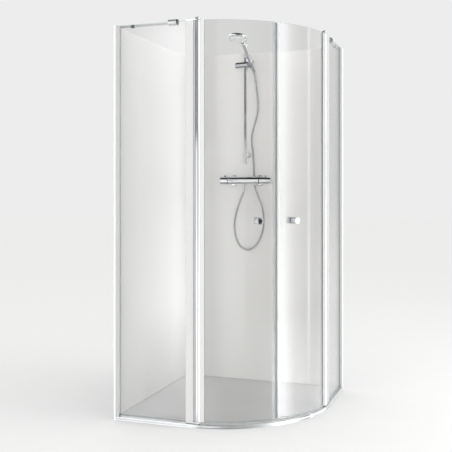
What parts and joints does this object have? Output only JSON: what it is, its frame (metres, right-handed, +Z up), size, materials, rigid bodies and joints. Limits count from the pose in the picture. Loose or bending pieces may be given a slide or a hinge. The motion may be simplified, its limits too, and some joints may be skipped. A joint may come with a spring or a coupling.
{
  "type": "shower cabin",
  "caption": "Quarter-round glass shower cabin with curved pivot doors, low floor pan, wall panels, thermostatic bar mixer, riser rail, hand shower and hose.",
  "frame": {"origin": "middle of the square footprint, on the surface that the cabin stands on", "axes": "+X to the right along the back wall, +Y to the back wall, +Z up"},
  "size_m": [0.922, 0.922, 1.9169],
  "materials": {
    "pan": "satin mineral composite",
    "wall_grey": "satin laminate",
    "wall_white": "satin white laminate",
    "silicone": "satin",
    "glass": "clear toughened",
    "aluminium": "polished anodised",
    "profile_light": "pale satin",
    "chrome": "polished",
    "steel": "brushed",
    "black_plastic": "satin",
    "black_rubber": "matt",
    "clear_seal": "translucent",
    "nylon": "matt",
    "brass": "turned",
    "button_grey": "gloss",
    "spray_white": "satin with soft nubs",
    "selector_grey": "satin",
    "hose_metal": "ribbed metal hose"
  },
  "bodies": {
    "root": {"shower_pan": "pan", "threshold_rail": "aluminium", "waste_flange": "steel", "back_wall_panel": "wall_grey", "left_wall_panel": "wall_white", "corner_trim": "silicone", "panel_battens": "aluminium", "left_wall_profile": "aluminium", "right_wall_profile": "aluminium", "wall_gaskets": "black_rubber", "left_fixed_glass": "glass", "right_fixed_glass": "glass", "base_seals": "clear_seal", "left_post_channel": "profile_light", "right_post_channel": "profile_light", "post_seals": "clear_seal", "top_pivot_brackets": "chrome", "bottom_pivot_blocks": "black_plastic", "stay_bars": "chrome", "stay_collars": "black_plastic", "stay_clamps": "chrome", "mixer_body": "chrome", "mixer_unions": "chrome", "mixer_escutcheons": "chrome", "thermostat_cartridge": "brass", "flow_cartridge": "brass", "hose_outlet_nut": "chrome", "riser_rail": "chrome", "rail_brackets": "chrome", "shower_hose": "hose_metal"},
    "left_door": {"left_hinge_tube": "chrome", "left_hinge_bushes": "nylon", "left_door_profile": "profile_light", "left_door_glass": "glass", "left_magnet_seal": "clear_seal", "left_bottom_seal": "clear_seal", "left_knob_outer": "chrome", "left_knob_inner": "chrome", "left_knob_stud": "chrome"},
    "right_door": {"right_hinge_tube": "chrome", "right_hinge_bushes": "nylon", "right_door_profile": "profile_light", "right_door_glass": "glass", "right_magnet_seal": "clear_seal", "right_bottom_seal": "clear_seal", "right_knob_outer": "chrome", "right_knob_inner": "chrome", "right_knob_stud": "chrome"},
    "strainer": {"waste_strainer": "steel"},
    "temperature_control": {"temperature_handle": "chrome"},
    "safety_button": {"temperature_button": "button_grey"},
    "flow_control": {"flow_handle": "chrome"},
    "eco_button": {"flow_button": "chrome"},
    "slider": {"slider_body": "chrome"},
    "slider_lock": {"slider_knob": "chrome"},
    "holder": {"handset_holder": "chrome"},
    "handset": {"hose_cone_nut": "chrome", "handset_body": "chrome", "spray_plate": "spray_white"},
    "spray_ring": {"spray_selector": "selector_grey"}
  },
  "joints": [
    {"name": "left_door_pivot", "type": "hinge", "parent": "root", "child": "left_door", "pos_m": [-0.039, -0.444, 0.937], "axis": [0, 0, 1], "range_deg": [-100, 0]},
    {"name": "right_door_pivot", "type": "hinge", "parent": "root", "child": "right_door", "pos_m": [0.444, 0.039, 0.937], "axis": [0, 0, 1], "range_deg": [0, 100]},
    {"name": "strainer_lift", "type": "slide", "parent": "root", "child": "strainer", "axis": [0, 0, 1], "range_m": [0, 0.04]},
    {"name": "temperature_turn", "type": "hinge", "parent": "root", "child": "temperature_control", "pos_m": [-0.196, 0.386, 1.133], "axis": [1, 0, 0], "range_deg": [-60, 150]},
    {"name": "safety_button_press", "type": "slide", "parent": "temperature_control", "child": "safety_button", "axis": [0, 0, -1], "range_m": [0, 0.002], "stiffness_N_per_m": 400},
    {"name": "flow_turn", "type": "hinge", "parent": "root", "child": "flow_control", "pos_m": [0.035, 0.386, 1.133], "axis": [1, 0, 0], "range_deg": [-90, 90]},
    {"name": "eco_button_press", "type": "slide", "parent": "flow_control", "child": "eco_button", "axis": [0, 0, -1], "range_m": [0, 0.002], "stiffness_N_per_m": 400},
    {"name": "slider_travel", "type": "slide", "parent": "root", "child": "slider", "axis": [0, 0, 1], "range_m": [-0.42, 0.015], "deforming": ["shower_hose"]},
    {"name": "slider_lock_turn", "type": "hinge", "parent": "slider", "child": "slider_lock", "pos_m": [-0.11402, 0.39536, 1.775], "axis": [0.9781, -0.2079, 0], "range_deg": [0, 90]},
    {"name": "holder_tilt", "type": "hinge", "parent": "slider", "child": "holder", "pos_m": [-0.05533, 0.38288, 1.775], "axis": [0.9781, -0.2079, 0], "range_deg": [-20, 12]},
    {"name": "handset_twist", "type": "hinge", "parent": "holder", "child": "handset", "pos_m": [-0.03479, 0.37851, 1.775], "axis": [-0.1391, -0.6545, 0.7431], "range_deg": [-60, 60]},
    {"name": "spray_select", "type": "hinge", "parent": "handset", "child": "spray_ring", "pos_m": [-0.0657, 0.23311, 1.89794], "axis": [-0.0432, -0.2034, -0.9781], "range_deg": [-30, 30]}
  ]
}
